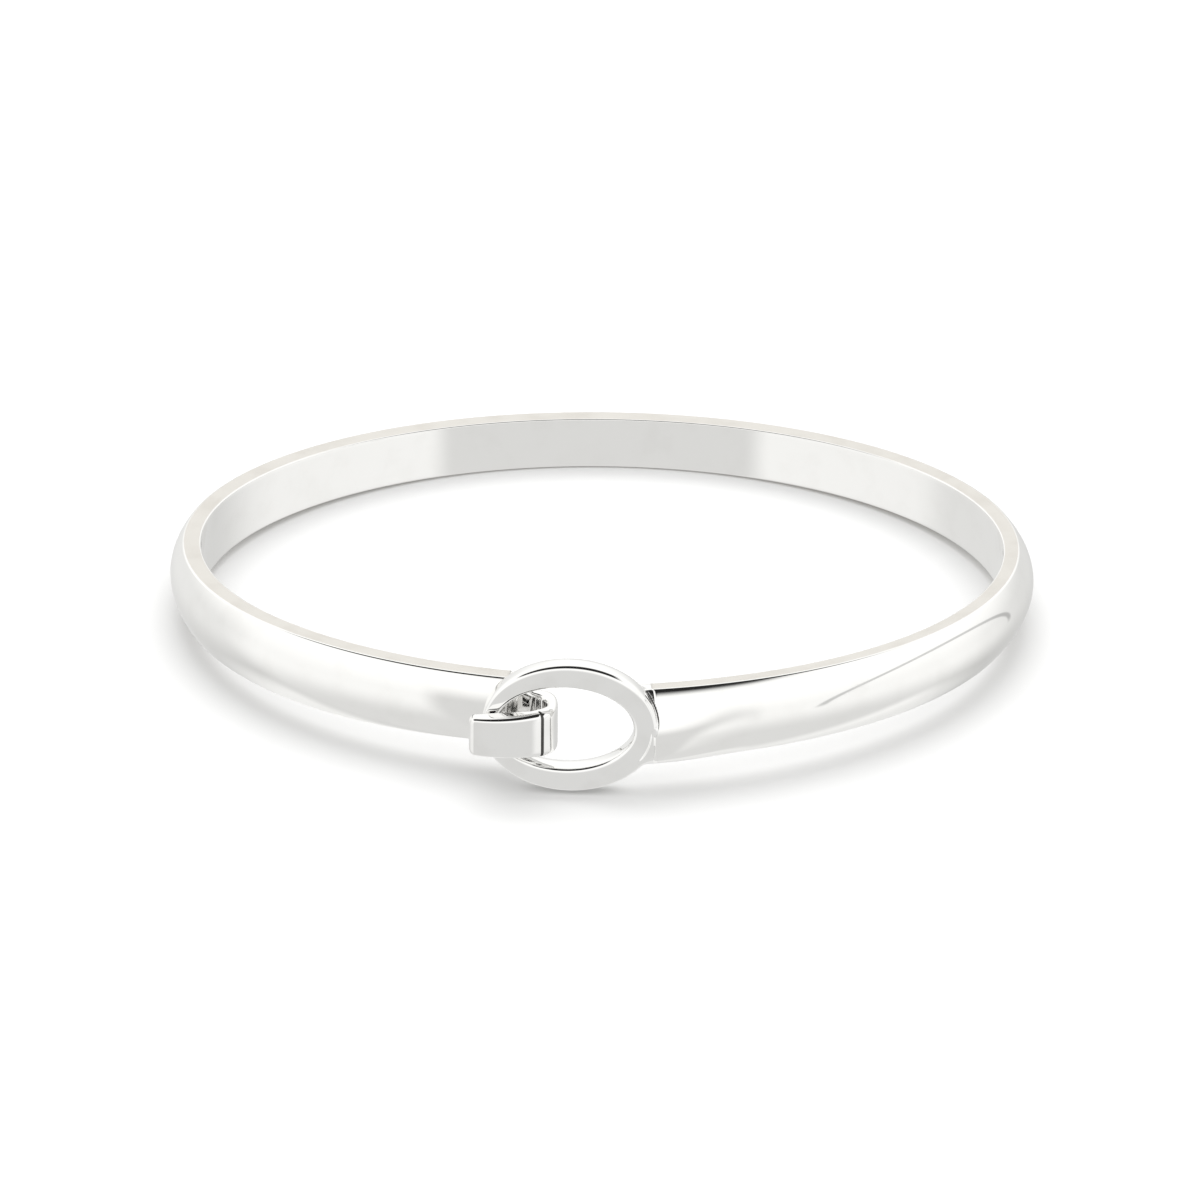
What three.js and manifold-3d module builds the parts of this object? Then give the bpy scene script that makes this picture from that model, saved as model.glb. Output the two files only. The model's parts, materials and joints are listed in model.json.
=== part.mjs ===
// Oval silver bangle with a hook-and-eye clasp.
// Units are millimetres and +Z is up. The bangle lies as it does on a table: on the lower rim of
// the eye and on the back of the band, so its front is raised. The origin is the middle of the
// footprint, on the table. The clasp faces -Y and the back of the band is at +Y.
//
// Inside the tilted group the bangle has a frame of its own: Z is the axis of the oval and Z = 0
// is the middle of its height. Places on the band are given by a turn in degrees, counted from
// the middle of the back: positive to the right, as seen from the clasp, and 180 at the front.
import * as THREE from 'three';
import { mergeVertices } from 'three/addons/utils/BufferGeometryUtils.js';
import Module from 'manifold-3d';

const wasm = await Module();
wasm.setup();

// --- Driving dimensions ---------------------------------------------------------------------

// The inner wall is an oval whose two arms flare outwards on their way to the clasp.
const OVAL_HALF_WIDTH = 29.35;
const OVAL_HALF_DEPTH = 23.1;
const HOOK_ARM_FLARE = 0.037;
const EYE_ARM_FLARE = 0.146;

// The D-shaped section: flat inside, flat top and bottom edges, domed outside.
const FLAT_EDGE = 1.38;
const DOME_RISE = 0.9;
const DOME_SEGMENTS = 10;
const BACK_HEIGHT = 3.92;
const FRONT_HEIGHT = 5.85;
const HOOK_ARM_TAPER = 0.5;
const TAPER_START_TURN = 130;

// The band is parted at the back, where its spring is modelled as a hinge.
const BACK_PART_GAP = 0.3;
const ARM_STEPS = 60;

// The hook arm ends behind the eye. The eye arm ends against the rim of the eye.
const HOOK_ARM_END_TURN = -168;
const EYE_ARM_END_TURN = 175;

const SOLDER_THICKNESS = 0.45;
const SOLDER_GAP = 0.15;

// The eye is an oval ring that stands upright in the clasp, turned a little about Z.
const EYE_X = -1.96;
const EYE_Y = -27.25;
const EYE_YAW = -3.2;
const EYE_HALF_WIDTH = 6.4;
const EYE_HALF_HEIGHT = 5.17;
const EYE_DEPTH = 2.2;
const OPENING_HALF_WIDTH = 5.05;
const OPENING_HALF_HEIGHT = 2.95;
const OPENING_SHIFT = -0.24;
const RIM_SQUARENESS = 2.8;
const EYE_STEPS = 56;
const RIM_STEPS = 16;

// The hook: a strap that leaves the hook arm, bends forwards through the eye and folds back over
// its rim as a wedge-shaped tab with a bulging front.
const STRAP_HEIGHT = 3.4;
const STRAP_BACK_Y = -24.7;
const STRAP_THICKNESS = 0.8;
const BEND_X = -2.8;
const BEND_THICKNESS = 0.85;
const BEND_BULGE_Y = -26.8;
const CREASE_ROUND = 0.5;
const TAB_BACK_Y = -28.3;
const TAB_CREASE = new THREE.Vector2(-3.95, -29);
const TAB_TIP = new THREE.Vector2(-9.3, -29.4);
const TAB_BULGE = 0.65;
const TAB_TIP_HEIGHT = 2.75;
const TAB_TIP_ROUND = 0.35;
const ROOT_X = -5.3;
const ROOT_HEIGHT = 4.6;
const ROOT_THICKNESS = 1.9;
const ROOT_INSET = 0.15;
const HOOK_EDGE_ROUND = 0.15;

const SILVER_COLOUR = 0xe9e8e6;
const SOLDER_COLOUR = 0xdedcd8;

// --- The line of the band -------------------------------------------------------------------

// A place on the inner wall: its point, and the direction that points out of the bangle.
function placeOnWall(turn) {
  const angle = THREE.MathUtils.degToRad(turn);
  const travel = Math.abs(turn) / 180;
  const flare = 1 + (turn < 0 ? HOOK_ARM_FLARE : EYE_ARM_FLARE) * travel ** 2;
  const point = new THREE.Vector2(
    OVAL_HALF_WIDTH * Math.sin(angle) * flare,
    OVAL_HALF_DEPTH * Math.cos(angle) * flare,
  );
  const outward = new THREE.Vector2(
    Math.sin(angle) / OVAL_HALF_WIDTH,
    Math.cos(angle) / OVAL_HALF_DEPTH,
  );
  return { point, outward: outward.normalize() };
}

// The band is lowest at the back. The hook arm narrows again near the clasp.
function bandHeight(turn) {
  const height = THREE.MathUtils.lerp(
    BACK_HEIGHT,
    FRONT_HEIGHT,
    THREE.MathUtils.smoothstep(Math.abs(turn), 0, 180),
  );
  if (turn > -TAPER_START_TURN) {
    return height;
  }
  const progress = (turn + TAPER_START_TURN) / (HOOK_ARM_END_TURN + TAPER_START_TURN);
  return height - HOOK_ARM_TAPER * progress ** 1.5;
}

// The D-shaped section: x runs outwards from the inner wall, y from -1 at the bottom to 1 at the top.
function bandSection() {
  const outline = [new THREE.Vector2(0, -1)];
  for (let i = 0; i <= DOME_SEGMENTS; i += 1) {
    const up = -Math.cos((Math.PI * i) / DOME_SEGMENTS);
    outline.push(new THREE.Vector2(FLAT_EDGE + DOME_RISE * (1 - up * up), up));
  }
  outline.push(new THREE.Vector2(0, 1));
  return new THREE.Shape(outline);
}

// A straight bar of the section, bent round the oval from one turn to a larger one.
function bentBar(fromTurn, toTurn, steps) {
  const bar = new THREE.ExtrudeGeometry(bandSection(), { depth: 1, steps, bevelEnabled: false });
  const position = bar.attributes.position;
  for (let i = 0; i < position.count; i += 1) {
    const turn = THREE.MathUtils.lerp(fromTurn, toTurn, position.getZ(i));
    const { point, outward } = placeOnWall(turn);
    point.addScaledVector(outward, position.getX(i));
    position.setXYZ(i, point.x, point.y, (position.getY(i) * bandHeight(turn)) / 2);
  }
  return bar;
}

// The turn that covers a length along the wall, near a given turn.
function turnFor(length, turn) {
  const here = placeOnWall(turn).point;
  const there = placeOnWall(turn + 0.1).point;
  return (0.1 * length) / here.distanceTo(there);
}

// --- Joining and cutting --------------------------------------------------------------------

function toSolid(geometry) {
  const bare = geometry.clone();
  bare.deleteAttribute('normal');
  bare.deleteAttribute('uv');
  const welded = mergeVertices(bare);
  return new wasm.Manifold(new wasm.Mesh({
    numProp: 3,
    vertProperties: welded.attributes.position.array,
    triVerts: Uint32Array.from(welded.index.array),
  }));
}

function toGeometry(solid) {
  const { vertProperties, triVerts } = solid.getMesh();
  const geometry = new THREE.BufferGeometry();
  geometry.setAttribute('position', new THREE.BufferAttribute(vertProperties, 3));
  geometry.setIndex(new THREE.BufferAttribute(triVerts, 1));
  geometry.computeVertexNormals();
  return geometry;
}

// --- The eye --------------------------------------------------------------------------------

// From the eye's own frame, whose Z is the way the eye faces, to the bangle's frame.
const eyeFrame = new THREE.Matrix4()
  .makeTranslation(EYE_X, EYE_Y, 0)
  .multiply(new THREE.Matrix4().makeRotationZ(THREE.MathUtils.degToRad(EYE_YAW)))
  .multiply(new THREE.Matrix4().makeRotationX(Math.PI / 2));

function roundedSquare(value) {
  return Math.sign(value) * Math.abs(value) ** (2 / RIM_SQUARENESS);
}

// A torus whose rim lies between the outer oval and the opening, with a softly squared section.
function eyeRing() {
  const torus = new THREE.TorusGeometry(1, 0.5, RIM_STEPS, EYE_STEPS);
  const position = torus.attributes.position;
  for (let i = 0; i < position.count; i += 1) {
    const angle = Math.atan2(position.getY(i), position.getX(i));
    const distance = Math.hypot(position.getX(i), position.getY(i));
    const across = roundedSquare((distance - 1) / 0.5);
    const along = roundedSquare(position.getZ(i) / 0.5);
    const outer = new THREE.Vector2(
      EYE_HALF_WIDTH * Math.cos(angle),
      EYE_HALF_HEIGHT * Math.sin(angle),
    );
    const inner = new THREE.Vector2(
      OPENING_HALF_WIDTH * Math.cos(angle) + OPENING_SHIFT,
      OPENING_HALF_HEIGHT * Math.sin(angle),
    );
    const point = inner.lerp(outer, (across + 1) / 2);
    position.setXYZ(i, point.x, point.y, (along * EYE_DEPTH) / 2);
  }
  return torus.applyMatrix4(eyeFrame);
}

// A plug of the eye's outer oval, grown by a margin and longer than the band is thick.
function eyePlug(margin) {
  const oval = new THREE.Shape();
  oval.absellipse(0, 0, EYE_HALF_WIDTH + margin, EYE_HALF_HEIGHT + margin, 0, 2 * Math.PI);
  const depth = 4 * EYE_DEPTH;
  const plug = new THREE.ExtrudeGeometry(oval, { depth, bevelEnabled: false, curveSegments: EYE_STEPS });
  return toSolid(plug.translate(0, 0, -depth / 2).applyMatrix4(eyeFrame));
}

// --- The hook -------------------------------------------------------------------------------

// The hook seen from above, as an outline in the bangle's X and Y.
function hookOutline() {
  const rootTurn = HOOK_ARM_END_TURN - turnFor(SOLDER_THICKNESS + 2 * SOLDER_GAP, HOOK_ARM_END_TURN);
  const { point, outward } = placeOnWall(rootTurn);
  const rootInside = point.clone().addScaledVector(outward, ROOT_INSET);
  const rootOutside = rootInside.clone().addScaledVector(outward, ROOT_THICKNESS);
  const strapFrontY = STRAP_BACK_Y - STRAP_THICKNESS;
  const insideRadius = (strapFrontY - TAB_BACK_Y) / 2;
  const insideX = BEND_X - BEND_THICKNESS - insideRadius;
  const tipInnerX = TAB_TIP.x + TAB_TIP_ROUND;
  const tabMiddle = new THREE.Vector2(tipInnerX, TAB_TIP.y).lerp(TAB_CREASE, 0.5);

  const outline = new THREE.Shape();
  outline.moveTo(rootInside.x, rootInside.y);
  outline.lineTo(rootOutside.x, rootOutside.y);
  outline.lineTo(insideX, strapFrontY);
  outline.absarc(insideX, strapFrontY - insideRadius, insideRadius, Math.PI / 2, -Math.PI / 2, true);
  outline.lineTo(tipInnerX, TAB_BACK_Y);
  outline.quadraticCurveTo(TAB_TIP.x, TAB_BACK_Y, TAB_TIP.x, TAB_BACK_Y - TAB_TIP_ROUND);
  outline.lineTo(TAB_TIP.x, TAB_TIP.y + TAB_TIP_ROUND);
  outline.quadraticCurveTo(TAB_TIP.x, TAB_TIP.y, tipInnerX, TAB_TIP.y);
  outline.quadraticCurveTo(tabMiddle.x, tabMiddle.y - 2 * TAB_BULGE, TAB_CREASE.x, TAB_CREASE.y);
  outline.quadraticCurveTo(BEND_X, TAB_CREASE.y + CREASE_ROUND, BEND_X, BEND_BULGE_Y);
  outline.quadraticCurveTo(BEND_X, STRAP_BACK_Y, insideX + insideRadius / 2, STRAP_BACK_Y);
  return outline;
}

// The hook is tallest at its root and lowest at the tip of the tab.
function hookHeight(x, y) {
  if (y < TAB_BACK_Y + HOOK_EDGE_ROUND) {
    return THREE.MathUtils.mapLinear(x, TAB_CREASE.x, TAB_TIP.x, STRAP_HEIGHT, TAB_TIP_HEIGHT);
  }
  const pastBend = THREE.MathUtils.smoothstep(y, BEND_BULGE_Y, STRAP_BACK_Y - STRAP_THICKNESS);
  const towardsRoot = THREE.MathUtils.smoothstep(-x, -TAB_CREASE.x, -ROOT_X);
  return THREE.MathUtils.lerp(STRAP_HEIGHT, ROOT_HEIGHT, pastBend * towardsRoot);
}

function hookBody() {
  const body = new THREE.ExtrudeGeometry(hookOutline(), {
    depth: STRAP_HEIGHT - 2 * HOOK_EDGE_ROUND,
    curveSegments: 8,
    bevelThickness: HOOK_EDGE_ROUND,
    bevelSize: HOOK_EDGE_ROUND,
    bevelOffset: -HOOK_EDGE_ROUND,
    bevelSegments: 2,
  });
  body.translate(0, 0, HOOK_EDGE_ROUND - STRAP_HEIGHT / 2);
  const position = body.attributes.position;
  for (let i = 0; i < position.count; i += 1) {
    const height = hookHeight(position.getX(i), position.getY(i));
    position.setZ(i, (position.getZ(i) * height) / STRAP_HEIGHT);
  }
  return body;
}

// --- Assembly -------------------------------------------------------------------------------

function piece(name, geometry, color, roughness) {
  const material = new THREE.MeshStandardMaterial({ color, roughness, metalness: 1 });
  const mesh = new THREE.Mesh(geometry, material);
  mesh.name = name;
  return mesh;
}

function hookSide() {
  const halfPart = turnFor(BACK_PART_GAP / 2, 0);
  const solderStart = HOOK_ARM_END_TURN - turnFor(SOLDER_GAP + SOLDER_THICKNESS, HOOK_ARM_END_TURN);
  const solderEnd = HOOK_ARM_END_TURN - turnFor(SOLDER_GAP, HOOK_ARM_END_TURN);
  return [
    piece('band_hook_half', bentBar(HOOK_ARM_END_TURN, -halfPart, ARM_STEPS), SILVER_COLOUR, 0.12),
    piece('hook_solder', bentBar(solderStart, solderEnd, 1), SOLDER_COLOUR, 0.25),
    piece('hook', hookBody(), SILVER_COLOUR, 0.1),
  ];
}

function eyeSide() {
  const halfPart = turnFor(BACK_PART_GAP / 2, 0);
  const arm = toSolid(bentBar(halfPart, EYE_ARM_END_TURN, ARM_STEPS));
  const band = arm.subtract(eyePlug(2 * SOLDER_GAP + SOLDER_THICKNESS));
  const solder = arm.intersect(eyePlug(SOLDER_GAP + SOLDER_THICKNESS)).subtract(eyePlug(SOLDER_GAP));
  return [
    piece('band_eye_half', toGeometry(band), SILVER_COLOUR, 0.12),
    piece('eye_solder', toGeometry(solder), SOLDER_COLOUR, 0.25),
    piece('eye', eyeRing(), SILVER_COLOUR, 0.1),
  ];
}

const bangle = new THREE.Group();
bangle.add(...hookSide(), ...eyeSide());

// The bangle leans back until the band's lower back edge and the eye's lower rim are level.
const supportDrop = EYE_HALF_HEIGHT - BACK_HEIGHT / 2;
const supportSpan = OVAL_HALF_DEPTH + FLAT_EDGE - EYE_Y;
bangle.rotation.x = -Math.atan(supportDrop / supportSpan);

// It is then moved until the middle of its footprint is the origin.
const extent = new THREE.Box3().setFromObject(bangle, true);
const middle = extent.getCenter(new THREE.Vector3());
bangle.position.set(-middle.x, -middle.y, -extent.min.z);

const object = new THREE.Group();
object.add(bangle);

export default object;
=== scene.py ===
"""Looks of the oval silver bangle with a hook-and-eye clasp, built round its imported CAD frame.

Lengths in the shape code are millimetres in the bangle's own frame, as in the CAD: Z is the axis
of the oval, the clasp is at -Y and the back of the band at +Y. TO_ROW turns them into metres in the
row frame, where the bangle leans back on the eye's lower rim and the back of the band. A turn is an
angle round the oval in degrees: 0 at the back, positive to the right, on the arm with the eye.
"""
import json
import math

import bpy
import numpy as np
from mathutils import Matrix, Vector


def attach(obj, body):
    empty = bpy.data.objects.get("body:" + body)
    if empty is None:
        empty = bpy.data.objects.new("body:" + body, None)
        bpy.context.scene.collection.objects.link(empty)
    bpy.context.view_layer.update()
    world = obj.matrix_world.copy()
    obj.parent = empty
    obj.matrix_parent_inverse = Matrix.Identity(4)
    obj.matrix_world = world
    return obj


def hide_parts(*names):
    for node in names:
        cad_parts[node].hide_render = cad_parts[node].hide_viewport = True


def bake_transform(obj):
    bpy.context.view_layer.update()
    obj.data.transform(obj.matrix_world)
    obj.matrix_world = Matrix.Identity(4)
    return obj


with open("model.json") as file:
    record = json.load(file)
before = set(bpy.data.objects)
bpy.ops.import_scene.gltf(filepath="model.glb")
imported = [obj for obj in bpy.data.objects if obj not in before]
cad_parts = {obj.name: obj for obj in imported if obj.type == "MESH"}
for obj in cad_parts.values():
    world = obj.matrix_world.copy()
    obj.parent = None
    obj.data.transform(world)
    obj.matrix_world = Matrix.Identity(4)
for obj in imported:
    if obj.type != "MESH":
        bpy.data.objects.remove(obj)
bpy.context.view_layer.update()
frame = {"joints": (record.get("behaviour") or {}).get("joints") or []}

# --- Dimensions, in millimetres and degrees -----------------------------------------------------

MM = 0.001

OVAL_HALF_WIDTH = 29.35
OVAL_HALF_DEPTH = 23.1
HOOK_ARM_FLARE = 0.037
EYE_ARM_FLARE = 0.146
BAND_THICKNESS = 2.28
FLAT_EDGE = 1.38
EYE_ARM_FLAT_EDGE = 1.14
BACK_HEIGHT = 3.92
FRONT_HEIGHT = 5.85
HOOK_ARM_TAPER = 0.5
TAPER_START_TURN = 130
TAPER_POWER = 1.5
HOOK_ARM_END_TURN = -168
BAND_END_TURN = 173.0
OUTER_EDGE_ROUND = 0.24
INNER_EDGE_ROUND = 0.12
BAND_STEPS = 520
FLAT_EDGE_TURNS = (40, 120)
# The end of the eye arm swells to meet the face of the eye. SWELL is reached between two depths
# below the band's middle, and two distances from its inner wall. LOWER_SWELL adds a hump below.
SWELL = 0.5
LOWER_SWELL = 1.1
SWELL_START_TURN = 160
SWELL_DEPTHS = (-1.6, 0.6)
SWELL_OUT = (0.1, 1.2)

EYE_X = -1.88
EYE_Y = -27.25
EYE_LIFT = 0.14
EYE_YAW = -3.2
EYE_HALF_WIDTH = 6.58
EYE_HALF_HEIGHT = 5.17
EYE_HALF_DEPTH = 1.1
OPENING_HALF_WIDTH = 5.12
OPENING_HALF_HEIGHT = 3.25
OPENING_SHIFT = -0.38
# How square each quarter of the rim's section is: outer front, inner front, inner back, outer back.
RIM_SQUARENESS = (4.6, 5.0, 2.8, 2.2)
EYE_STEPS = 224
RIM_STEPS = 64

HINGE_Y = OVAL_HALF_DEPTH + BAND_THICKNESS / 2

# --- The bangle's frame ---------------------------------------------------------------------------

joint = frame["joints"][0]
hinge_axis = Vector(joint["axis"])
hinge_point = Vector(joint["pos_m"])
TILT = Matrix.Rotation(-math.atan2(hinge_axis.y, hinge_axis.z), 4, "X")
BANGLE_ORIGIN = hinge_point - TILT @ Vector((0, HINGE_Y * MM, 0))
TO_ROW = Matrix.Translation(BANGLE_ORIGIN) @ TILT @ Matrix.Scale(MM, 4)

# --- Camera ---------------------------------------------------------------------------------------

CAMERA_DISTANCE = 3000
CAMERA_ELEVATION = math.radians(24.839)
CAMERA_ROLL = math.radians(-0.321)
CAMERA_ASIDE = 0.269
CAMERA_DOWN = 2.14
CAMERA_ANGLE = math.radians(1.7166)
CAMERA_CLIP = (0.1, 20)


def make_camera():
    """The photo's camera: far away, with a long lens."""
    data = bpy.data.cameras.new("camera")
    data.angle = CAMERA_ANGLE
    data.clip_start, data.clip_end = CAMERA_CLIP
    side = Vector((1, 0, 0))
    back = Vector((0, -math.cos(CAMERA_ELEVATION), math.sin(CAMERA_ELEVATION)))
    up = back.cross(side)
    cos_roll, sin_roll = math.cos(CAMERA_ROLL), math.sin(CAMERA_ROLL)
    right = cos_roll * side - sin_roll * up
    top = sin_roll * side + cos_roll * up
    place = CAMERA_DISTANCE * back + CAMERA_ASIDE * right - CAMERA_DOWN * top
    turn = (TILT.to_3x3() @ Matrix((right, top, back)).transposed()).to_4x4()
    camera = bpy.data.objects.new("camera", data)
    camera.matrix_world = Matrix.Translation(TO_ROW @ place) @ turn
    bpy.context.scene.collection.objects.link(camera)
    bpy.context.scene.camera = camera


# --- Meshes ---------------------------------------------------------------------------------------


def new_piece(name, points, faces, uvs=None, flat_faces=()):
    """A smooth mesh object from points in the bangle's frame. uvs are in millimetres."""
    mesh = bpy.data.meshes.new(name)
    mesh.from_pydata([tuple(p) for p in points], [], faces)
    mesh.transform(TO_ROW)
    if uvs is not None:
        layer = mesh.uv_layers.new(name="polish")
        layer.data.foreach_set("uv", np.asarray(uvs, np.float32).ravel())
    smooth = np.ones(len(faces), bool)
    smooth[list(flat_faces)] = False
    mesh.polygons.foreach_set("use_smooth", smooth)
    mesh.update()
    piece = bpy.data.objects.new(name, mesh)
    bpy.context.scene.collection.objects.link(piece)
    return piece


def lengths(points):
    """Running length of the line through points."""
    steps = np.linalg.norm(np.diff(points, axis=0), axis=1)
    return np.concatenate([[0], np.cumsum(steps)])


def loft(name, stations, ring=False):
    """A skin over stations, an array of closed outlines: station, point, xyz.

    ring joins the last station to the first. Otherwise both ends are capped.
    """
    count, around = stations.shape[:2]
    along = lengths(np.vstack([stations.mean(1), stations.mean(1)[:1]]))
    across = lengths(np.vstack([stations[count // 2], stations[count // 2][:1]]))
    faces, uvs = [], []
    for i in range(count if ring else count - 1):
        j = (i + 1) % count
        for k in range(around):
            m = (k + 1) % around
            faces.append((i * around + k, j * around + k, j * around + m, i * around + m))
            uvs += [(along[i], across[k]), (along[i + 1], across[k])]
            uvs += [(along[i + 1], across[k + 1]), (along[i], across[k + 1])]
    caps = []
    if not ring:
        caps = [len(faces), len(faces) + 1]
        faces.append(tuple(range(around)))
        faces.append(tuple(reversed(range((count - 1) * around, count * around))))
        uvs += [tuple(p[:2]) for p in stations[0]]
        uvs += [tuple(p[:2]) for p in stations[-1][::-1]]
    return new_piece(name, stations.reshape(-1, 3), faces, uvs, caps)


def smoothstep(value, low, high):
    """A smooth step from 0 to 1 as value goes from low to high."""
    t = np.clip((value - low) / (high - low), 0, 1)
    return t * t * (3 - 2 * t)


# --- The band -------------------------------------------------------------------------------------


def place_on_wall(turn):
    """A place on the inner wall, and the direction that points out of the bangle there."""
    angle = np.radians(turn)
    flare = 1 + np.where(turn < 0, HOOK_ARM_FLARE, EYE_ARM_FLARE) * (np.abs(turn) / 180) ** 2
    point = np.stack([OVAL_HALF_WIDTH * np.sin(angle), OVAL_HALF_DEPTH * np.cos(angle)], -1)
    outward = np.stack([np.sin(angle) / OVAL_HALF_WIDTH, np.cos(angle) / OVAL_HALF_DEPTH], -1)
    outward = outward / np.linalg.norm(outward, axis=-1, keepdims=True)
    return point * np.asarray(flare)[..., None], outward


def band_height(turn):
    """The band grows in height from the back to the clasp, and the hook arm tapers at its end."""
    height = BACK_HEIGHT + (FRONT_HEIGHT - BACK_HEIGHT) * smoothstep(np.abs(turn), 0, 180)
    progress = (turn + TAPER_START_TURN) / (HOOK_ARM_END_TURN + TAPER_START_TURN)
    return height - HOOK_ARM_TAPER * np.clip(progress, 0, None) ** TAPER_POWER


def bezier(start, control, end, steps):
    """Points along a quadratic curve."""
    t = np.linspace(0, 1, steps + 1)[:, None]
    start, control, end = np.array(start), np.array(control), np.array(end)
    return (1 - t) ** 2 * start + 2 * t * (1 - t) * control + t**2 * end


def flat_edge(turn):
    """The width of the band's flat edge, which narrows along the eye arm."""
    share = float(smoothstep(turn, *FLAT_EDGE_TURNS))
    return FLAT_EDGE + (EYE_ARM_FLAT_EDGE - FLAT_EDGE) * share


def band_section(height, edge):
    """The D-shaped section: x out of the bangle, y up. Flat inside, flat edges, domed outside."""
    half = height / 2
    rise = BAND_THICKNESS - edge
    slope = 2 * rise / half
    reach = OUTER_EDGE_ROUND * math.tan((math.pi / 2 - math.atan(slope)) / 2)
    edge_y = half - reach / math.hypot(1, slope)
    edge_x = edge + rise * (1 - (edge_y / half) ** 2)
    inner = INNER_EDGE_ROUND
    wall = np.stack([np.zeros(11), np.linspace(0, half - inner, 11)], -1)
    corner = bezier((0, half - inner), (0, half), (inner, half), 6)[1:]
    flat = np.stack([np.linspace(inner, edge - reach, 6), np.full(6, half)], -1)[1:]
    round_edge = bezier((edge - reach, half), (edge, half), (edge_x, edge_y), 10)[1:]
    up = np.linspace(edge_y, 0, 19)[1:]
    dome = np.stack([edge + rise * (1 - (up / half) ** 2), up], -1)
    upper = np.vstack([wall, corner, flat, round_edge, dome])
    lower = upper[-2:0:-1] * [1, -1]
    return np.vstack([upper, lower])


def swell(turn, out, up):
    """How far the end of the eye arm stands out to meet the face of the eye."""
    grow = smoothstep(turn, SWELL_START_TURN, BAND_END_TURN) * smoothstep(out, *SWELL_OUT)
    level = SWELL * smoothstep(-up, *SWELL_DEPTHS)
    low = np.clip(-up / (FRONT_HEIGHT / 2), 0, 1) ** 2
    return grow * (level + LOWER_SWELL * low * (1 - low**2))


def band_stations(turns):
    """The band's section at each turn."""
    stations = []
    for turn in turns:
        point, outward = place_on_wall(turn)
        section = band_section(float(band_height(turn)), flat_edge(turn))
        out = section[:, 0] + swell(turn, section[:, 0], section[:, 1])
        plan = point + out[:, None] * outward
        stations.append(np.column_stack([plan, section[:, 1]]))
    return np.array(stations)


def make_band():
    """The whole band in one piece, from the hook to the eye."""
    return loft("band", band_stations(np.linspace(HOOK_ARM_END_TURN, BAND_END_TURN, BAND_STEPS)))


# --- The eye --------------------------------------------------------------------------------------

YAW = math.radians(EYE_YAW)


def from_eye(points):
    """Eye frame, x to the right, y up and z the way the eye faces, to the bangle's frame."""
    x, y, z = points[..., 0], points[..., 1], points[..., 2]
    return np.stack(
        [
            EYE_X + x * math.cos(YAW) + z * math.sin(YAW),
            EYE_Y + x * math.sin(YAW) - z * math.cos(YAW),
            y + EYE_LIFT,
        ],
        -1,
    )


def squareness(across, forward):
    """The power of the rounded square that the rim's section follows, in each of its quarters."""
    outer = np.where(forward >= 0, RIM_SQUARENESS[0], RIM_SQUARENESS[3])
    inner = np.where(forward >= 0, RIM_SQUARENESS[1], RIM_SQUARENESS[2])
    return np.where(across >= 0, outer, inner)


def rim_ends(angle):
    """The rim at an angle: its point on the opening and its point on the outer oval."""
    cos, sin = np.cos(angle), np.sin(angle)
    inner = np.stack([OPENING_HALF_WIDTH * cos + OPENING_SHIFT, OPENING_HALF_HEIGHT * sin], -1)
    outer = np.stack([EYE_HALF_WIDTH * cos, EYE_HALF_HEIGHT * sin], -1)
    return inner, outer


def make_eye():
    """The oval ring, with a rounded square section that goes from its opening to its outside."""
    turn = np.linspace(0, 2 * math.pi, RIM_STEPS, endpoint=False)
    power = 2 / squareness(np.cos(turn), np.sin(turn))
    across = np.sign(np.cos(turn)) * np.abs(np.cos(turn)) ** power
    forward = np.sign(np.sin(turn)) * np.abs(np.sin(turn)) ** power
    inner, outer = rim_ends(np.linspace(0, 2 * math.pi, EYE_STEPS, endpoint=False))
    share = ((across + 1) / 2)[None, :, None]
    flat = inner[:, None] * (1 - share) + outer[:, None] * share
    depth = np.broadcast_to((forward * EYE_HALF_DEPTH)[None, :, None], (*flat.shape[:2], 1))
    return loft("eye_ring", from_eye(np.concatenate([flat, depth], -1)), ring=True)


# --- The hook -------------------------------------------------------------------------------------

STRAP_HALF_HEIGHT = 1.8
ROOT_HALF_HEIGHT = 2.3
TIP_HALF_HEIGHT = 1.52
# Plan points. The root is on the end of the hook arm, and the strap runs from it into the bend.
ROOT_INSIDE = np.array([-6.14, -25.44])
ROOT_OUTSIDE = np.array([-5.853, -23.56])
STRAP_INSIDE = np.array([-5.05, -25.5])
STRAP_OUTSIDE = np.array([-4.35, -24.7])
BEND_CENTRE = np.array([-5.05, -26.9])
BEND_RADIUS = 1.4
BEND_SIDE = (-2.8, -26.8)
BEND_BACK_CORNER = (-2.8, -24.7)
BEND_FRONT_CORNER = (-2.8, -28.5)
CREASE = np.array([-3.95, -29.0])
CREASE_ANGLE = 63.4
CREASE_DIRECTION = (0.487, -0.873)
# Width and reach of the painted shade line along the crease.
CREASE_SHADE_HALF_WIDTH = 0.085
CREASE_SHADE_REACH = 0.6
GROOVE_DEPTH = 0.07
GROOVE_HALF_WIDTH = 0.1
TAB_BACK_Y = -28.3
TAB_END = np.array([-8.9, -29.4])
TAB_BULGE_Y = -30.06
TIP_ROUND = 0.5
# The strap drops by TAB_DROP from the root to the tab, between these two Y.
TAB_DROP = 0.11
DROP_Y = (-25.6, -27.6)
# Y and X between which the strap grows to the height of the root.
ROOT_GROW_Y = (-26.8, -25.5)
ROOT_GROW_X = (-3.95, -5.3)
FACE_START_Y = -28.2
ROUND_AT_CREASE = 0.5
ROUND_AT_TIP = 0.3
ROUND_OF_STRAP = 0.35
INNER_ROUND_OF_TAB = 0.15
INNER_ROUND_OF_BEND = 0.35
INNER_ROUND_Y = (-28.9, -27.5)
ROOT_STEPS = 13
BEND_BACK_STEPS = 24
BEND_FRONT_STEPS = 18
TAB_STEPS = 60
TAB_BEND_STEPS = 12
TIP_STEPS = 8
TIP_BACK_SHARE = 0.6
ROUND_LIMIT = 0.49


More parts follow.
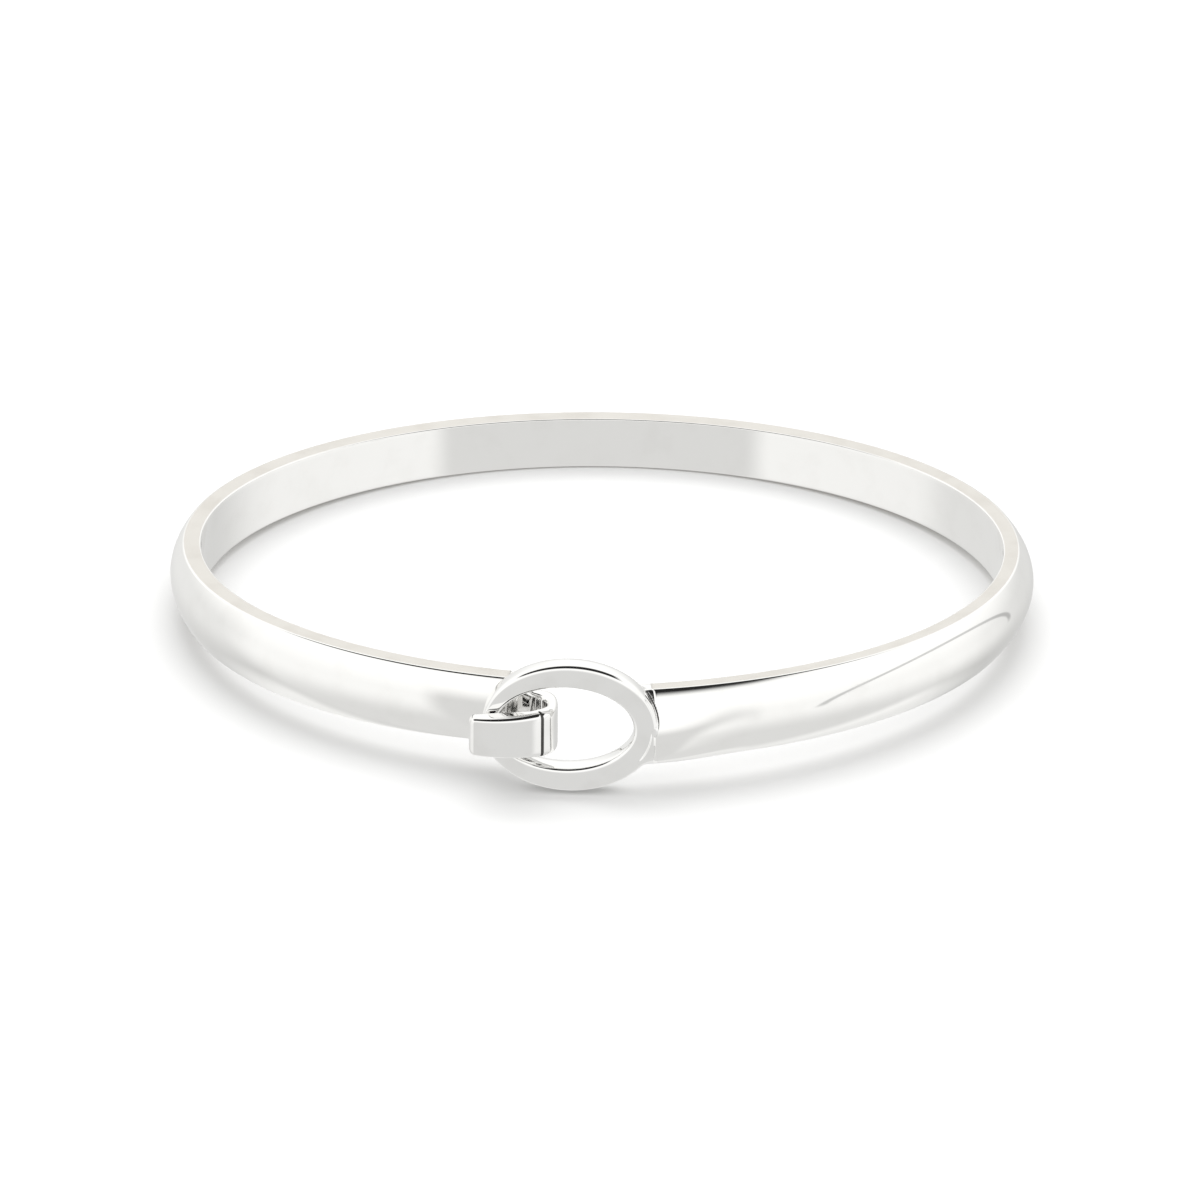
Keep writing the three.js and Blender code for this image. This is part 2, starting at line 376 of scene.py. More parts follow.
def rounded_box(inside, outside, half_height, outer_round, inner_round):
    """An upright rounded rectangle from one plan point to another."""
    thickness = np.linalg.norm(outside - inside)
    across = (outside - inside) / thickness
    limit = ROUND_LIMIT * min(thickness, 2 * half_height)
    outer, inner = min(outer_round, limit), min(inner_round, limit)
    arc = np.radians(np.linspace(0, 90, 8))
    front = np.stack(
        [thickness - outer + outer * np.cos(arc), half_height - outer + outer * np.sin(arc)], -1
    )
    back = np.stack([inner - inner * np.sin(arc), half_height - inner + inner * np.cos(arc)], -1)
    face = np.linspace(0, half_height - outer, 8)[:-1]
    face = np.stack([np.full(len(face), thickness), face], -1)
    top = np.linspace(thickness - outer, inner, 5)[1:-1]
    top = np.stack([top, np.full(len(top), half_height)], -1)
    rear = np.linspace(half_height - inner, 0, 6)[1:]
    rear = np.stack([np.zeros(len(rear)), rear], -1)
    upper = np.vstack([face, front, top, back, rear])
    section = np.vstack([upper, upper[-2:0:-1] * [1, -1]])
    plan = inside + section[:, :1] * across
    return np.column_stack([plan, section[:, 1]])


def bend_inside(angle):
    """The point of the bend's inner wall at an angle in degrees."""
    turn = math.radians(angle)
    return BEND_CENTRE + BEND_RADIUS * np.array([math.cos(turn), math.sin(turn)])


def hook_rails():
    """Pairs of plan points, inside and outside, from the root round the bend to the tab's end."""
    rails = []
    for share in np.linspace(0, 1, ROOT_STEPS + 1)[:-1]:
        inside = ROOT_INSIDE + (STRAP_INSIDE - ROOT_INSIDE) * share
        rails.append((inside, ROOT_OUTSIDE + (STRAP_OUTSIDE - ROOT_OUTSIDE) * share))
    back = bezier(STRAP_OUTSIDE, BEND_BACK_CORNER, BEND_SIDE, BEND_BACK_STEPS)
    front = bezier(BEND_SIDE, BEND_FRONT_CORNER, CREASE, BEND_FRONT_STEPS)
    back_angles = np.linspace(90, 0, BEND_BACK_STEPS + 1)
    front_angles = np.linspace(0, -CREASE_ANGLE, BEND_FRONT_STEPS + 1)
    rails += [(bend_inside(angle), point) for angle, point in zip(back_angles, back)]
    rails += [(bend_inside(angle), point) for angle, point in zip(front_angles[1:], front[1:])]
    bulge = ((CREASE[0] + TAB_END[0]) / 2, TAB_BULGE_Y)
    face = bezier(CREASE, bulge, TAB_END, TAB_STEPS)
    for i in range(1, TAB_STEPS + 1):
        if i <= TAB_BEND_STEPS:
            inside = bend_inside(-CREASE_ANGLE - (90 - CREASE_ANGLE) * i / TAB_BEND_STEPS)
        else:
            share = (i - TAB_BEND_STEPS) / (TAB_STEPS - TAB_BEND_STEPS)
            inside = np.array([BEND_CENTRE[0] + (TAB_END[0] - BEND_CENTRE[0]) * share, TAB_BACK_Y])
        rails.append((inside, face[i]))
    return rails


def hook_section(inside, outside):
    """The hook's section between two plan points, with the groove of the crease sunk in it."""
    x, y = outside
    groove = GROOVE_DEPTH * math.exp(-((np.linalg.norm(outside - CREASE) / GROOVE_HALF_WIDTH) ** 2))
    outside = outside + (inside - outside) / np.linalg.norm(inside - outside) * groove
    if y < FACE_START_Y:
        share = max((x - CREASE[0]) / (TAB_END[0] - CREASE[0]), 0)
        half = STRAP_HALF_HEIGHT + (TIP_HALF_HEIGHT - STRAP_HALF_HEIGHT) * share
        outer_round = ROUND_AT_CREASE + (ROUND_AT_TIP - ROUND_AT_CREASE) * share
    else:
        grow = smoothstep(y, *ROOT_GROW_Y) * smoothstep(x, *ROOT_GROW_X)
        half = STRAP_HALF_HEIGHT + (ROOT_HALF_HEIGHT - STRAP_HALF_HEIGHT) * grow
        outer_round = ROUND_OF_STRAP
    share = smoothstep(y, *INNER_ROUND_Y)
    inner_round = INNER_ROUND_OF_TAB + (INNER_ROUND_OF_BEND - INNER_ROUND_OF_TAB) * share
    return rounded_box(inside, outside, half, outer_round, inner_round)


def make_hook():
    rails = hook_rails()
    stations = [hook_section(inside, outside) for inside, outside in rails]
    inside, outside = rails[-1]
    for angle in np.radians(np.linspace(0, 90, TIP_STEPS + 1))[1:]:
        inset = TIP_ROUND * (1 - math.cos(angle))
        step = np.array([-TIP_ROUND * math.sin(angle), 0])
        back = inside + step + [0, -inset * TIP_BACK_SHARE]
        front = outside + step + [0, inset]
        half = TIP_HALF_HEIGHT - inset
        stations.append(rounded_box(back, front, half, ROUND_AT_TIP, INNER_ROUND_OF_TAB))
    stations = np.array(stations)
    stations[..., 2] -= TAB_DROP * smoothstep(stations[..., 1], *DROP_Y)
    return loft("hook_strap", stations[::-1])


def in_crease_painted_shade(place):
    """Whether a place on the hook lies in the painted shade: a dark line between the bend and the
    tab that stands in for the shade in the crease.
    """
    x, y = place.x - CREASE[0], place.y - CREASE[1]
    along = x * CREASE_DIRECTION[0] + y * CREASE_DIRECTION[1]
    aside = x * CREASE_DIRECTION[1] - y * CREASE_DIRECTION[0]
    return abs(aside) < CREASE_SHADE_HALF_WIDTH and along > -CREASE_SHADE_REACH


# --- Solder seams ---------------------------------------------------------------------------------

# The fillet is worked out on a grid of cells between two corners, in the bangle's frame.
COLLAR_LOW = np.array([1.7, -29.6, -5.6])
COLLAR_HIGH = np.array([7.4, -24.6, 4.2])
COLLAR_CELL = 0.075
LOW_MARGIN_CELLS = 3
HIGH_MARGIN_CELLS = 4
# It is sunk in the eye and the band, and deeper where it is this far from the other of the two.
COLLAR_SUNK = 0.012
COLLAR_DEEP = 0.09
DEEP_IN_EYE = (0.3, 0.9)
DEEP_IN_BAND = (0.6, 1.2)
# The band's part of it ends this far inside the outer oval of the eye.
BAND_END_INSIDE_OVAL = 0.45
# How far the fillet reaches, above and below, and the distances over which that changes.
FILLET_TOP = 0.25
FILLET_BOTTOM = 0.5
FILLET_DEPTHS = (-0.6, 2.2)
FILLET_OVAL = (-0.9, 0.3)
FILLET_LEAST = 0.02
SMOOTH_ROUNDS = 3
RETURN_STEPS = 2
# The painted shade along the seam, a dark line where the eye's rim stands proud of the band: shares
# of the eye's size past its outer oval, and heights.
SEAM_SHADE_OVAL = (0.0, 0.02)
SEAM_SHADE_HEIGHTS = (0.2, 2.9)
# A rough middle line of the rim, for a first guess of the angle on it, and a length for scale.
RIM_MIDDLE_X = -0.12
RIM_MIDDLE_HALF_WIDTH = 5.7
RIM_MIDDLE_HALF_HEIGHT = 4.2
RIM_LENGTH = 5
# Turns are divided by this, so that newton's steps suit them.
TURN_UNIT = 10
NEWTON_ROUNDS = 6
NEWTON_STEP = 1e-3
NEWTON_LIMIT = 0.3
TINY = 1e-6

HOOK_SEAM_TURN = 1.6
HOOK_SEAM_STEPS = 6
HOOK_SEAM_WAIST = 0.06


def newton(residual, guess):
    """Roots of residual, one for each point, from a near guess."""
    for _ in range(NEWTON_ROUNDS):
        value = residual(guess)
        slope = (residual(guess + NEWTON_STEP) - value) / NEWTON_STEP
        slope = np.where(np.abs(slope) < TINY, TINY, slope)
        guess = guess - np.clip(value / slope, -NEWTON_LIMIT, NEWTON_LIMIT)
    return guess


def cross2(a, b):
    """The cross product of plane vectors."""
    return a[..., 0] * b[..., 1] - a[..., 1] * b[..., 0]


def slope_length(field):
    """How steep a field on the grid is, for turning its values into distances."""
    return np.sqrt(sum(part**2 for part in np.gradient(field, COLLAR_CELL))) + TINY


def eye_distance(grid):
    """Signed distance to the eye's rim, negative inside, and to its outer oval."""
    x, y, z = grid[..., 0] - EYE_X, grid[..., 1] - EYE_Y, grid[..., 2] - EYE_LIFT
    flat = np.stack([x * math.cos(YAW) + y * math.sin(YAW), z], -1)
    forward = (x * math.sin(YAW) - y * math.cos(YAW)) / EYE_HALF_DEPTH

    def residual(angle):
        inner, outer = rim_ends(angle)
        return cross2(outer - inner, flat - inner) / RIM_LENGTH

    guess_x = (flat[..., 0] - RIM_MIDDLE_X) / RIM_MIDDLE_HALF_WIDTH
    guess_y = flat[..., 1] / RIM_MIDDLE_HALF_HEIGHT
    angle = newton(residual, np.arctan2(guess_y, guess_x))
    inner, outer = rim_ends(angle)
    rim = outer - inner
    across = 2 * ((flat - inner) * rim).sum(-1) / (rim**2).sum(-1) - 1
    power = squareness(across, forward)
    field = (np.abs(across) ** power + np.abs(forward) ** power) ** (1 / power) - 1
    oval = np.hypot(flat[..., 0] / EYE_HALF_WIDTH, flat[..., 1] / EYE_HALF_HEIGHT) - 1
    return field / slope_length(field), oval / slope_length(oval)


def band_distance(grid):
    """Signed distance to the band's surface, negative inside."""
    plan = grid[:, :, 0, :2]

    def residual(turn):
        point, outward = place_on_wall(turn * TURN_UNIT)
        return cross2(outward, plan - point)

    reach = OVAL_HALF_WIDTH * (1 + EYE_ARM_FLARE)
    guess = (180 - np.degrees(np.arcsin(plan[..., 0] / reach))) / TURN_UNIT
    turn = newton(residual, guess) * TURN_UNIT
    point, outward = place_on_wall(turn)
    out = np.broadcast_to(((plan - point) * outward).sum(-1)[..., None], grid.shape[:3])
    out = out - swell(turn[..., None], out, grid[..., 2])
    half = band_height(turn)[..., None] / 2
    up = np.abs(grid[..., 2]) * (FRONT_HEIGHT / 2) / half
    outline = band_section(FRONT_HEIGHT, EYE_ARM_FLAT_EDGE)
    outline = outline[: len(outline) // 2 + 1]
    place = np.stack([out, up], -1)
    nearest = np.full(out.shape, np.inf)
    for start, end in zip(outline[:-1], outline[1:]):
        side = end - start
        share = np.clip(((place - start) @ side) / (side @ side), 0, 1)
        nearest = np.minimum(nearest, ((place - start - share[..., None] * side) ** 2).sum(-1))
    inside = inside_outline(place, outline)
    return np.where(inside, -1, 1) * np.sqrt(nearest)


def inside_outline(place, outline):
    """Whether each place lies inside an outline, by counting the sides that are crossed."""
    within = np.zeros(place.shape[:-1], bool)
    closed = np.vstack([outline, outline[:1]])
    x, y = place[..., 0], place[..., 1] + 1e-7  # clear of the outline's corners
    for (x0, y0), (x1, y1) in zip(closed[:-1], closed[1:]):
        if y0 == y1:
            continue
        crosses = (y0 > y) != (y1 > y)
        within ^= crosses & (x < (x1 - x0) * (y - y0) / (y1 - y0) + x0)
    return within


def surface_net(field):
    """The surface where field is 0, one point to a cell: points, in cells, and faces."""
    size = np.array(field.shape) - 1
    corners = np.array([(i, j, k) for i in (0, 1) for j in (0, 1) for k in (0, 1)])
    values = np.stack(
        [field[i : i + size[0], j : j + size[1], k : k + size[2]] for i, j, k in corners], -1
    )
    mixed = (values.min(-1) < 0) & (values.max(-1) >= 0)
    cells, values = np.argwhere(mixed), values[mixed]
    total, hits = np.zeros((len(cells), 3)), np.zeros((len(cells), 1))
    for a in range(8):
        for b in range(a + 1, 8):
            if np.abs(corners[a] - corners[b]).sum() != 1:
                continue
            low, high = values[:, a : a + 1], values[:, b : b + 1]
            crossing = (low < 0) != (high < 0)
            share = np.where(crossing, low / np.where(crossing, low - high, 1), 0)
            total += np.where(crossing, corners[a] + share * (corners[b] - corners[a]), 0)
            hits += crossing
    points = cells + total / hits
    number = np.full(size, -1)
    number[tuple(cells.T)] = np.arange(len(cells))
    faces = []
    inside = field < 0
    for axis in range(3):
        first = [slice(1, -1)] * 3
        second = [slice(1, -1)] * 3
        first[axis], second[axis] = slice(0, -1), slice(1, None)
        change = inside[tuple(first)] != inside[tuple(second)]
        start = np.argwhere(change) + 1
        start[:, axis] -= 1
        one, two = [a for a in range(3) if a != axis]
        step_one, step_two = np.eye(3, dtype=int)[one], np.eye(3, dtype=int)[two]
        loop = [start - step_one - step_two, start - step_two, start, start - step_one]
        quads = np.stack([number[tuple(c.T)] for c in loop], -1)
        outwards = inside[tuple(start.T)] ^ (axis == 1)
        quads[~outwards] = quads[~outwards][:, ::-1]
        faces.append(quads)
    return points, np.vstack(faces)


def sample(field, points):
    """field between its grid points."""
    base = np.clip(points.astype(int), 0, np.array(field.shape) - 2)
    part = points - base
    value = 0
    for i in (0, 1):
        for j in (0, 1):
            for k in (0, 1):
                weight = np.prod(np.where([i, j, k], part, 1 - part), axis=1)
                value = value + weight * field[base[:, 0] + i, base[:, 1] + j, base[:, 2] + k]
    return value


def collar_field():
    """Distance to the smooth union of the eye and the end of the band, on the grid."""
    axes = [np.arange(a, b, COLLAR_CELL) for a, b in zip(COLLAR_LOW, COLLAR_HIGH)]
    grid = np.stack(np.meshgrid(*axes, indexing="ij"), -1)
    eye_field, oval = eye_distance(grid)
    band_field = np.maximum(band_distance(grid), -BAND_END_INSIDE_OVAL - oval)
    eye_field, band_field = (
        eye_field + COLLAR_DEEP * smoothstep(band_field, *DEEP_IN_EYE),
        band_field + COLLAR_DEEP * smoothstep(eye_field, *DEEP_IN_BAND),
    )
    reach = FILLET_TOP + (FILLET_BOTTOM - FILLET_TOP) * smoothstep(-grid[..., 2], *FILLET_DEPTHS)
    reach = reach * smoothstep(oval, *FILLET_OVAL) + FILLET_LEAST
    overlap = np.maximum(reach - np.abs(eye_field - band_field), 0) / reach
    field = np.minimum(eye_field, band_field) - overlap**2 * reach / 4 + COLLAR_SUNK
    for axis in range(3):
        low = COLLAR_LOW[axis] + LOW_MARGIN_CELLS * COLLAR_CELL - grid[..., axis]
        high = grid[..., axis] - COLLAR_HIGH[axis] + HIGH_MARGIN_CELLS * COLLAR_CELL
        field = np.maximum(field, np.maximum(low, high))
    return field


def smooth_net(points, faces, field):
    """Evens out a surface net's points and brings them back to where field is 0."""
    gradient = np.stack(np.gradient(field), -1)
    joined = np.zeros(len(points))
    np.add.at(joined, faces.ravel(), 1)
    for _ in range(SMOOTH_ROUNDS):
        middle = points[faces].mean(1)
        total = np.zeros_like(points)
        for corner in range(4):
            np.add.at(total, faces[:, corner], middle)
        points = total / joined[:, None]
        for _ in range(RETURN_STEPS):
            slope = np.stack([sample(gradient[..., axis], points) for axis in range(3)], -1)
            value = sample(field, points)[:, None]
            points = points - value * slope / ((slope**2).sum(1, keepdims=True) + 1e-9)
    return points


def make_eye_solder():
    """The fillet between the eye and the end of the band, which stands out only at the joint."""
    field = collar_field()
    points, faces = surface_net(field)
    points = COLLAR_LOW + smooth_net(points, faces, field) * COLLAR_CELL
    uvs = points[faces.ravel()][:, [0, 2]]
    return new_piece("eye_fillet", points, faces.tolist(), uvs)


def in_seam_painted_shade(place):
    """Whether a place on the fillet lies in the painted shade line along the seam beside the eye."""
    across = (place.x - EYE_X) / EYE_HALF_WIDTH
    oval = math.hypot(across, (place.z - EYE_LIFT) / EYE_HALF_HEIGHT) - 1
    return SEAM_SHADE_OVAL[0] < oval < SEAM_SHADE_OVAL[1] and SEAM_SHADE_HEIGHTS[0] < place.z < SEAM_SHADE_HEIGHTS[1]


def make_hook_solder():
    """A slice of the band's section just past the end of the hook arm, with a slight waist."""
    end = HOOK_ARM_END_TURN
    stations = band_stations(np.linspace(end - HOOK_SEAM_TURN, end, HOOK_SEAM_STEPS))
    centre = stations.mean(1, keepdims=True)
    waist = 1 - HOOK_SEAM_WAIST * np.sin(np.linspace(0, math.pi, HOOK_SEAM_STEPS))
    return loft("hook_seam", centre + (stations - centre) * waist[:, None, None])


# --- Materials ------------------------------------------------------------------------------------

SMUDGE_SCALE = 420
RIPPLE_SCALE = 160
RIPPLE_HEIGHT = 0.4
LINE_STRETCH = (0.35, 18, 1)
LINE_HEIGHT = 0.012
SCRATCH_STRETCH = (0.5, 16, 1)
SCRATCH_HEIGHT = 0.02
SCRATCH_ROUGHNESS = 0.06
# Scratches run in a few directions, each with patches of its own scale.
SCRATCHES = ((0.5, 333), (-0.9, 341), (1.3, 353))
# Levels of noise between which each mark comes in.
STREAK_LEVELS = (0.66, 0.72)
PATCH_LEVELS = (0.5, 0.62)
ROUGH_LEVELS = (0.35, 0.7)
DULL_LEVELS = (0.45, 0.75)
BUMP_STRENGTH = 0.5
BUMP_DISTANCE = 0.000012
# The band's faces that look this nearly along its axis are its satin flat edges.
FLAT_FACE_COSINE = 0.997


class Graph:
    """Short names for making shader nodes."""

    def __init__(self, tree):
        tree.nodes.clear()
        self.tree = tree

    def node(self, kind, inputs=None, **settings):
        """A new node. An input is a number, a colour or another node's output."""
        made = self.tree.nodes.new(kind)
        for name, value in settings.items():
            setattr(made, name, value)
        for key, value in (inputs or {}).items():
            self.feed(made.inputs[key], value)
        return made

    def feed(self, socket, value):
        if isinstance(value, bpy.types.NodeSocket):
            self.tree.links.new(value, socket)
        else:
            socket.default_value = value

    def math(self, operation, first, second=0.0):
        made = self.node("ShaderNodeMath", {0: first, 1: second}, operation=operation)
        return made.outputs[0]

    def step(self, value, low, high, first=0.0, last=1.0):
        """Smooth step from first to last as value goes from low to high."""
        inputs = {"Value": value, "From Min": low, "From Max": high, "To Min": first, "To Max": last}
        made = self.node("ShaderNodeMapRange", inputs, interpolation_type="SMOOTHSTEP")
        return made.outputs[0]

    def noise(self, place, scale, detail, stretch=(1, 1, 1), turn=0.0):
        """Noise at a place, after it is stretched and turned about its third axis."""
        mapping = self.node(
            "ShaderNodeMapping", {"Vector": place, "Scale": stretch, "Rotation": (0, 0, turn)}
        )
        inputs = {"Vector": mapping.outputs[0], "Scale": scale, "Detail": detail}
        return self.node("ShaderNodeTexNoise", inputs).outputs[0]

    def mix(self, share, first, last):
        """A mix of two colours, whose sockets are numbers 6, 7 and 2 of the node."""
        made = self.node("ShaderNodeMix", data_type="RGBA")
        self.feed(made.inputs[0], share)
        self.feed(made.inputs[6], first)
        self.feed(made.inputs[7], last)
        return made.outputs[2]


def silver(name, bright, dull, roughness, spread, hairline):
    """Polished silver: smudges, hairlines along the piece, stray scratches and a slight ripple."""
    material = bpy.data.materials.new(name)
    material.use_nodes = True
    g = Graph(material.node_tree)
    place = g.node("ShaderNodeUVMap", uv_map="polish").outputs[0]
    solid = g.node("ShaderNodeTexCoord").outputs["Object"]
    smudge = g.noise(solid, SMUDGE_SCALE, 3)
    lines = g.noise(place, 1.0, 2, LINE_STRETCH)
    scratches = 0.0
    for turn, patch_scale in SCRATCHES:
        streak = g.step(g.noise(place, 1.0, 1, SCRATCH_STRETCH, turn), *STREAK_LEVELS)
        patch = g.step(g.noise(solid, patch_scale, 1), *PATCH_LEVELS)
        scratches = g.math("MAXIMUM", scratches, g.math("MULTIPLY", streak, patch))
    rough = g.step(smudge, *ROUGH_LEVELS, roughness, roughness + spread)
    rough = g.math("ADD", rough, g.math("MULTIPLY", lines, hairline))
    rough = g.math("ADD", rough, g.math("MULTIPLY", scratches, SCRATCH_ROUGHNESS))
    colour = g.mix(g.step(smudge, *DULL_LEVELS), (*bright, 1), (*dull, 1))
    height = g.math("MULTIPLY", g.noise(solid, RIPPLE_SCALE, 1), RIPPLE_HEIGHT)
    height = g.math("ADD", height, g.math("MULTIPLY", lines, LINE_HEIGHT))
    height = g.math("SUBTRACT", height, g.math("MULTIPLY", scratches, SCRATCH_HEIGHT))
    bump = g.node(
        "ShaderNodeBump", {"Height": height, "Strength": BUMP_STRENGTH, "Distance": BUMP_DISTANCE}
    )
    shader = g.node(
        "ShaderNodeBsdfPrincipled",
        {"Base Color": colour, "Roughness": rough, "Metallic": 1.0, "Normal": bump.outputs[0]},
    )
    g.node("ShaderNodeOutputMaterial", {"Surface": shader.outputs[0]})
    return material


def matt(name, colour):
    """A plain matt finish for the floor."""
    material = bpy.data.materials.new(name)
    material.use_nodes = True
    g = Graph(material.node_tree)
    shader = g.node("ShaderNodeBsdfDiffuse", {"Color": (*colour, 1)})
    g.node("ShaderNodeOutputMaterial", {"Surface": shader.outputs[0]})
    return material


# --- Studio ---------------------------------------------------------------------------------------

# Directions are degrees: azimuth from the camera's side, positive to the right, elevation upwards,
# and behind, the angle past the plane from left to right. 1 is white. A step goes from the first
# angle to the second, and where it has four numbers, from the third value to the fourth.
FRONT_LIGHT = 0.735
FRONT_EDGE = (33, 40)
LEFT_STEP = (-108, -86, 0.86, 1.02)
RIGHT_STEP = (90, 140, 0.0, -0.25)
BELOW_STEP = (-52, -10, 0.74, 1.0)
# A lighter patch low down behind the bangle.
PATCH_BEHIND = (0, 12, 0.0, 0.3)
PATCH_ELEVATION = (-55, -40, 1.0, 0.0)
SKY_LIGHT = 1.12
SKY_STEP = (-4, 24)
# A dark hood overhead, which draws the black lines. Its left and right ends are sines.
HOOD_ELEVATION = (42, 50)
HOOD_BEHIND = (12, 22, 1.0, 0.0)
HOOD_RIGHT = (0.5, 0.66, 0.98, 0.0)
HOOD_LEFT = (-0.85, -0.68)
# A thin grey arch to the right, which draws the curved line on the eye arm.
ARCH_AZIMUTH = 89.0
ARCH_ELEVATION = -18.0
ARCH_HALF_WIDTH = 37.0
ARCH_HALF_HEIGHT = 36.0
ARCH_LINE = (0.015, 0.05, 0.4, 0.0)
ARCH_FOOT = (-18, -10)
WARMTH = 0.985
BACKDROP = (1.05, 1.05, 1.05, 1)

FLOOR_HALF_SIDE = 1.5
FLOOR_DROP = 0.00003
FLOOR_COLOUR = (0.69, 0.69, 0.69)


def side_light(g, azimuth, elevation, behind):
    """Light from the sides: grey in front, white beside it, and duller below."""
    sides = g.math("ADD", g.step(azimuth, *LEFT_STEP), g.step(azimuth, *RIGHT_STEP))
    sides = g.math("MULTIPLY", sides, g.step(elevation, *BELOW_STEP))
    aside = g.step(g.math("ABSOLUTE", azimuth), *FRONT_EDGE)
    low = g.math("MULTIPLY", aside, g.math("SUBTRACT", sides, FRONT_LIGHT))
    low = g.math("ADD", low, FRONT_LIGHT)
    patch = g.math("MULTIPLY", g.step(behind, *PATCH_BEHIND), g.step(elevation, *PATCH_ELEVATION))
    return g.math("ADD", low, patch)


def dim(g, light, darkness):
    """light with a share of it taken away."""
    return g.math("MULTIPLY", light, g.math("SUBTRACT", 1.0, darkness))


def hood(g, elevation, behind, rightward):
    """How much of the light the hood takes away."""
    shade = g.math("MULTIPLY", g.step(elevation, *HOOD_ELEVATION), g.step(behind, *HOOD_BEHIND))
    shade = g.math("MULTIPLY", shade, g.step(rightward, *HOOD_RIGHT))
    return g.math("MULTIPLY", shade, g.step(rightward, *HOOD_LEFT))


def arch(g, azimuth, elevation):
    """How much of the light the arch takes away: a thin line along the upper part of an oval."""
    wide = g.math("DIVIDE", g.math("SUBTRACT", azimuth, ARCH_AZIMUTH), ARCH_HALF_WIDTH)
    tall = g.math("DIVIDE", g.math("SUBTRACT", elevation, ARCH_ELEVATION), ARCH_HALF_HEIGHT)
    wide, tall = g.math("MULTIPLY", wide, wide), g.math("MULTIPLY", tall, tall)
    away = g.math("SUBTRACT", g.math("SQRT", g.math("ADD", wide, tall)), 1.0)
    line = g.step(g.math("ABSOLUTE", away), *ARCH_LINE)
    return g.math("MULTIPLY", line, g.step(elevation, *ARCH_FOOT))


def make_world():
    """The studio, painted round the bangle, which only reflections and soft light see."""
    world = bpy.data.worlds.new("studio")
    world.use_nodes = True
    bpy.context.scene.world = world
    g = Graph(world.node_tree)
    direction = g.node("ShaderNodeTexCoord").outputs["Generated"]
    split = g.node("ShaderNodeSeparateXYZ", {0: direction}).outputs
    elevation = g.math("DEGREES", g.math("ARCSINE", split["Z"]))
    behind = g.math("DEGREES", g.math("ARCSINE", split["Y"]))
    forward = g.math("MULTIPLY", split["Y"], -1.0)
    azimuth = g.math("DEGREES", g.math("ARCTAN2", split["X"], forward))
    low = side_light(g, azimuth, elevation, behind)
    rise = g.step(elevation, *SKY_STEP)
    light = g.math("ADD", low, g.math("MULTIPLY", rise, g.math("SUBTRACT", SKY_LIGHT, low)))
    light = dim(g, light, hood(g, elevation, behind, split["X"]))
    light = dim(g, light, arch(g, azimuth, elevation))
    blue = g.math("MULTIPLY", light, WARMTH)
    glow = g.node("ShaderNodeCombineColor", {0: light, 1: light, 2: blue}).outputs[0]
    seen = g.node("ShaderNodeLightPath").outputs["Is Camera Ray"]
    colour = g.mix(seen, glow, BACKDROP)
    shader = g.node("ShaderNodeBackground", {"Color": colour, "Strength": 1.0})
    g.node("ShaderNodeOutputWorld", {"Surface": shader.outputs[0]})


def make_floor():
    side = FLOOR_HALF_SIDE
    mesh = bpy.data.meshes.new("floor")
    corners = [(-side, -side, 0), (side, -side, 0), (side, side, 0), (-side, side, 0)]
    mesh.from_pydata(corners, [], [(0, 1, 2, 3)])
    floor = bpy.data.objects.new("floor", mesh)
    floor.location.z = -FLOOR_DROP
    bpy.context.scene.collection.objects.link(floor)
    mesh.materials.append(matt("floor_white", FLOOR_COLOUR))
    floor.visible_glossy = False


def make_softbox(name, size, energy, back, height):
    """A round softbox above the bangle, or above and behind, turned towards it."""
    data = bpy.data.lights.new(name, "AREA")
    data.shape = "DISK"
    data.size = size
    data.energy = energy
    lamp = bpy.data.objects.new(name, data)
    lamp.location = (0, back, height)
    lamp.rotation_euler.x = -math.atan2(back, height)
    lamp.visible_glossy = False
    bpy.context.scene.collection.objects.link(lamp)


# --- Assembly -------------------------------------------------------------------------------------


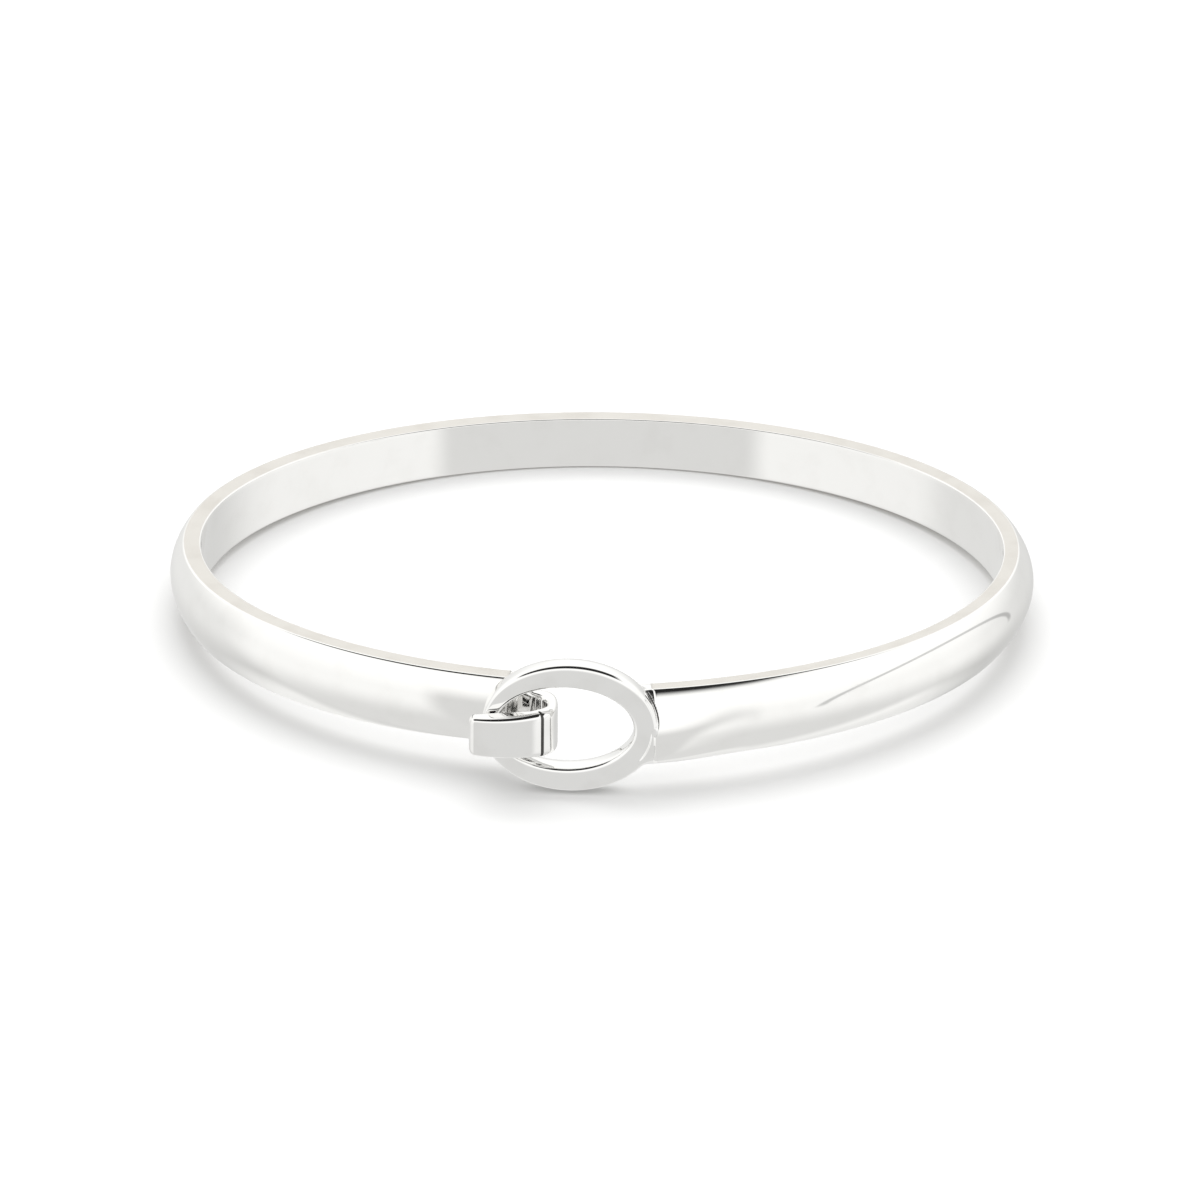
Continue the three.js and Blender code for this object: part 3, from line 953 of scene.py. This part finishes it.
def paint(piece, finish, chosen):
    """Gives finish, here the near-black silver of painted shade, to the faces whose middle, in the
    bangle's frame, is chosen.
    """
    piece.data.materials.append(finish)
    to_bangle = TO_ROW.inverted()
    for polygon in piece.data.polygons:
        if chosen(to_bangle @ polygon.center):
            polygon.material_index = len(piece.data.materials) - 1


make_camera()
make_world()
make_floor()
make_softbox("softbox", size=1.2, energy=5.6, back=0.0, height=0.55)
make_softbox("key", size=0.5, energy=0.6, back=0.2, height=0.45)
view = bpy.context.scene.view_settings
view.view_transform = "Standard"
view.look = "None"

# name, bright colour, dull colour, roughness, its spread, and what the hairlines add to it
band_silver = silver("band_silver", (0.94, 0.935, 0.925), (0.918, 0.912, 0.9), 0.035, 0.03, 0.015)
clasp_silver = silver("clasp_silver", (0.93, 0.927, 0.92), (0.89, 0.885, 0.875), 0.02, 0.02, 0.01)
solder_silver = silver("solder_silver", (0.92, 0.91, 0.89), (0.86, 0.85, 0.83), 0.12, 0.08, 0.03)
edge_silver = silver("edge_silver", (0.80, 0.775, 0.735), (0.77, 0.742, 0.70), 0.34, 0.06, 0.05)
# Near-black silver that paints shade into the hook's crease and along the seam beside the eye.
painted_shade_silver = silver("painted_shade_silver", (0.10, 0.098, 0.095), (0.07, 0.068, 0.065), 0.4, 0.1, 0.05)

band = make_band()
band.data.materials.append(band_silver)
band.data.materials.append(edge_silver)
for polygon in band.data.polygons:
    polygon.material_index = int(abs(polygon.normal.dot(hinge_axis)) > FLAT_FACE_COSINE)
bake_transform(band)
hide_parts("band_hook_half", "band_eye_half")

eye = make_eye()
eye.data.materials.append(clasp_silver)
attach(eye, "eye_side")
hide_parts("eye")

eye_solder = make_eye_solder()
eye_solder.data.materials.append(clasp_silver)
# A dark line of painted shade along the seam, where the eye's rim stands proud of the band.
paint(eye_solder, painted_shade_silver, in_seam_painted_shade)
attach(eye_solder, "eye_side")
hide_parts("eye_solder")

hook = make_hook()
hook.data.materials.append(clasp_silver)
# The crease between the bend and the tab gets near-black silver: painted shade.
paint(hook, painted_shade_silver, in_crease_painted_shade)
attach(hook, "hook_side")
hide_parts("hook")

hook_solder = make_hook_solder()
hook_solder.data.materials.append(solder_silver)
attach(hook_solder, "hook_side")
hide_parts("hook_solder")
